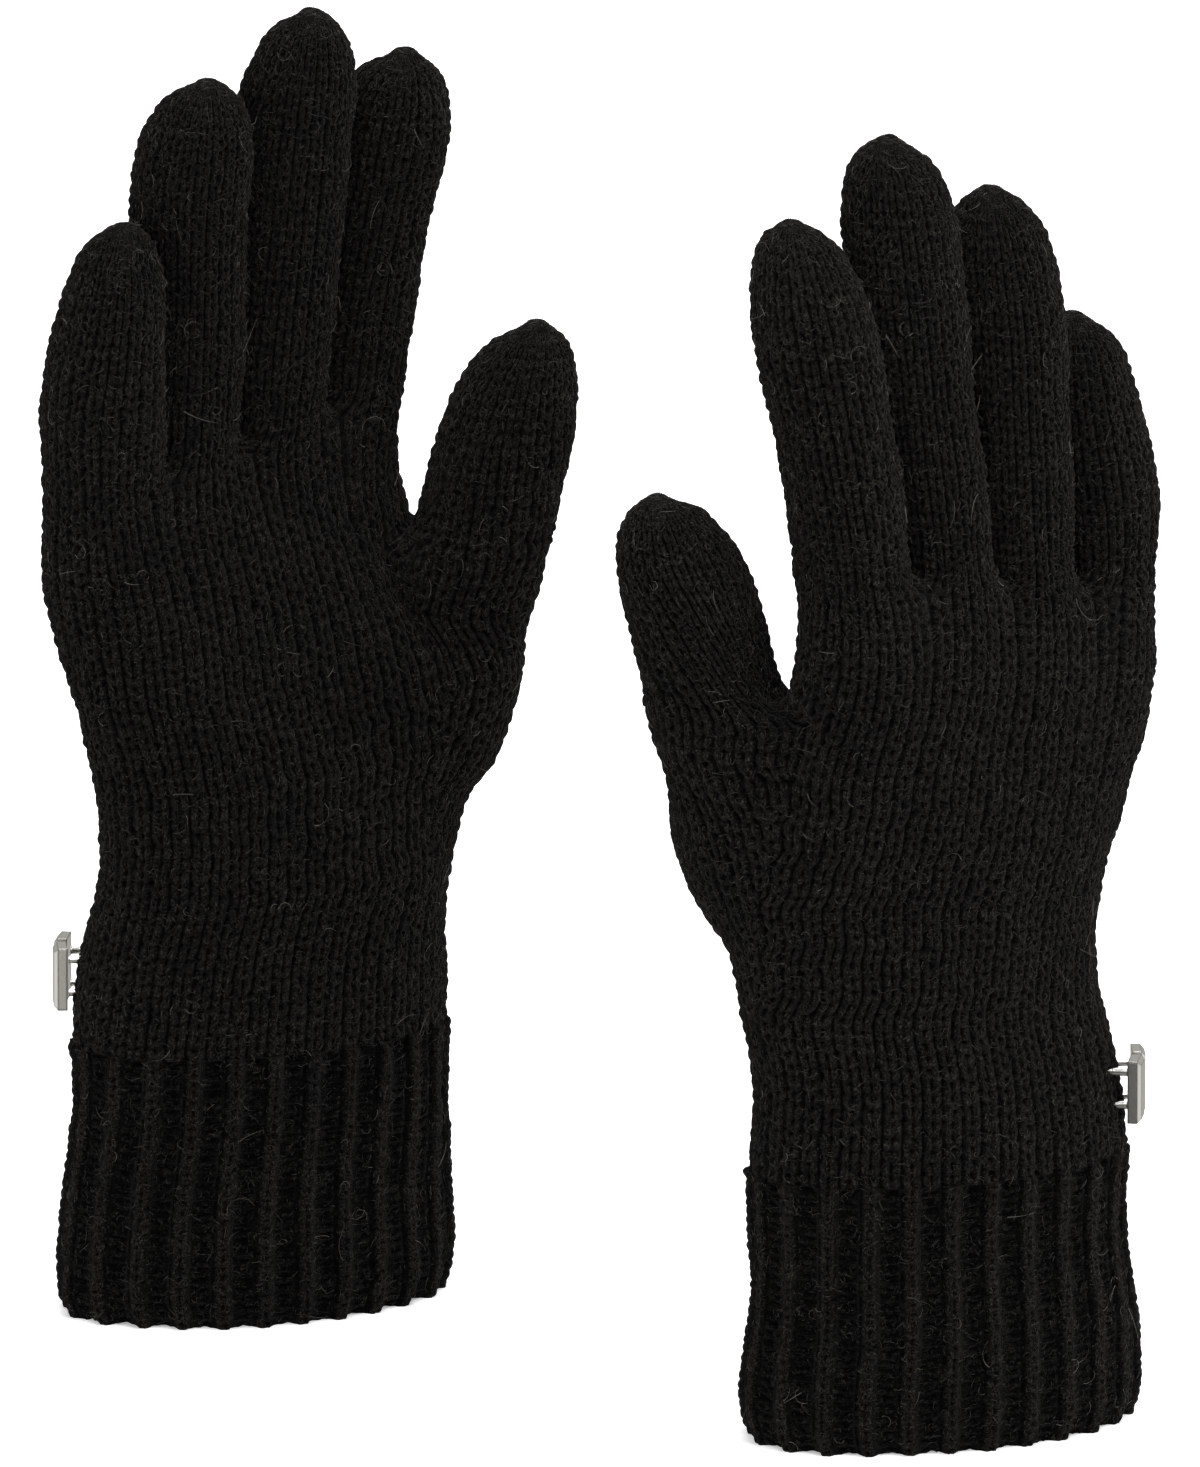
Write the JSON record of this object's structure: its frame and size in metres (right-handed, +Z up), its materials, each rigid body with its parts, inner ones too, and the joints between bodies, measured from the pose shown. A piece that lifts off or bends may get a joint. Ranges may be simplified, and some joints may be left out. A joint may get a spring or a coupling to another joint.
{
  "type": "touchscreen gloves",
  "caption": "Pair of black knitted wool touchscreen gloves with a ribbed cuff, conductive fingertips and a small plain metal badge at each wrist, standing on the cuffs with the fingers up.",
  "frame": {"origin": "on the ground, midway between the two gloves, at the centre of the bottom of their box", "axes": "+Z up along the fingers, +X from the first glove to the second, +Y away from a viewer who sees the first glove's palm"},
  "size_m": [0.2178, 0.1702, 0.2575],
  "materials": {
    "wool": "knitted wool-like yarn, warm black, slightly fuzzy",
    "touch_yarn": "knitted conductive yarn, warm black, grainier",
    "polished_metal": "polished silver-coloured metal",
    "label": "black woven satin ribbon, blank"
  },
  "bodies": {
    "glove_a": {"glove_a_cuff_edge": "wool", "glove_a_cuff_rib": "wool", "glove_a_hand_shell": "wool", "glove_a_badge_plate_1": "polished_metal", "glove_a_badge_back_1": "polished_metal", "glove_a_badge_post_1": "polished_metal", "glove_a_badge_post_2": "polished_metal", "glove_a_badge_plate_2": "polished_metal", "glove_a_badge_back_2": "polished_metal", "glove_a_badge_post_3": "polished_metal", "glove_a_badge_post_4": "polished_metal", "glove_a_care_label": "label"},
    "glove_a_thumb_body": {"glove_a_thumb": "wool", "glove_a_thumb_touch_tip": "touch_yarn", "glove_a_thumb_tip_knot": "wool"},
    "glove_a_index_body": {"glove_a_index_finger": "wool", "glove_a_index_touch_tip": "touch_yarn", "glove_a_index_tip_knot": "wool"},
    "glove_a_middle_body": {"glove_a_middle_finger": "wool", "glove_a_middle_tip_knot": "wool"},
    "glove_a_ring_body": {"glove_a_ring_finger": "wool", "glove_a_ring_tip_knot": "wool"},
    "glove_a_little_body": {"glove_a_little_finger": "wool", "glove_a_little_tip_knot": "wool"},
    "glove_b": {"glove_b_cuff_edge": "wool", "glove_b_cuff_rib": "wool", "glove_b_hand_shell": "wool", "glove_b_badge_plate_1": "polished_metal", "glove_b_badge_back_1": "polished_metal", "glove_b_badge_post_1": "polished_metal", "glove_b_badge_post_2": "polished_metal", "glove_b_badge_plate_2": "polished_metal", "glove_b_badge_back_2": "polished_metal", "glove_b_badge_post_3": "polished_metal", "glove_b_badge_post_4": "polished_metal", "glove_b_care_label": "label"},
    "glove_b_thumb_body": {"glove_b_thumb": "wool", "glove_b_thumb_touch_tip": "touch_yarn", "glove_b_thumb_tip_knot": "wool"},
    "glove_b_index_body": {"glove_b_index_finger": "wool", "glove_b_index_touch_tip": "touch_yarn", "glove_b_index_tip_knot": "wool"},
    "glove_b_middle_body": {"glove_b_middle_finger": "wool", "glove_b_middle_tip_knot": "wool"},
    "glove_b_ring_body": {"glove_b_ring_finger": "wool", "glove_b_ring_tip_knot": "wool"},
    "glove_b_little_body": {"glove_b_little_finger": "wool", "glove_b_little_tip_knot": "wool"}
  },
  "joints": [
    {"name": "glove_a_thumb_bend", "type": "hinge", "parent": "glove_a", "child": "glove_a_thumb_body", "pos_m": [-0.023, 0.0502, 0.1491], "axis": [0.9511, 0, -0.309], "range_deg": [0, 35]},
    {"name": "glove_a_index_bend", "type": "hinge", "parent": "glove_a", "child": "glove_a_index_body", "pos_m": [-0.04286, 0.06143, 0.16515], "axis": [0.788, 0.6157, 0], "range_deg": [0, 45]},
    {"name": "glove_a_middle_bend", "type": "hinge", "parent": "glove_a", "child": "glove_a_middle_body", "pos_m": [-0.05826, 0.04923, 0.16515], "axis": [0.788, 0.6157, 0], "range_deg": [0, 70]},
    {"name": "glove_a_ring_bend", "type": "hinge", "parent": "glove_a", "child": "glove_a_ring_body", "pos_m": [-0.07418, 0.03859, 0.16515], "axis": [0.788, 0.6157, 0], "range_deg": [0, 70]},
    {"name": "glove_a_little_bend", "type": "hinge", "parent": "glove_a", "child": "glove_a_little_body", "pos_m": [-0.08895, 0.02647, 0.16515], "axis": [0.788, 0.6157, 0], "range_deg": [0, 70]},
    {"name": "glove_b_thumb_bend", "type": "hinge", "parent": "glove_b", "child": "glove_b_thumb_body", "pos_m": [0.023, -0.0502, 0.1491], "axis": [-0.9511, 0, -0.309], "range_deg": [0, 35]},
    {"name": "glove_b_index_bend", "type": "hinge", "parent": "glove_b", "child": "glove_b_index_body", "pos_m": [0.04286, -0.06143, 0.16515], "axis": [-0.788, -0.6157, 0], "range_deg": [0, 45]},
    {"name": "glove_b_middle_bend", "type": "hinge", "parent": "glove_b", "child": "glove_b_middle_body", "pos_m": [0.05826, -0.04923, 0.16515], "axis": [-0.788, -0.6157, 0], "range_deg": [0, 70]},
    {"name": "glove_b_ring_bend", "type": "hinge", "parent": "glove_b", "child": "glove_b_ring_body", "pos_m": [0.07418, -0.03859, 0.16515], "axis": [-0.788, -0.6157, 0], "range_deg": [0, 70]},
    {"name": "glove_b_little_bend", "type": "hinge", "parent": "glove_b", "child": "glove_b_little_body", "pos_m": [0.08895, -0.02647, 0.16515], "axis": [-0.788, -0.6157, 0], "range_deg": [0, 70]},
    {"name": "glove_b_lift", "type": "slide", "parent": "glove_a", "child": "glove_b", "axis": [0, 0, 1], "range_m": [0, 0.3]}
  ]
}
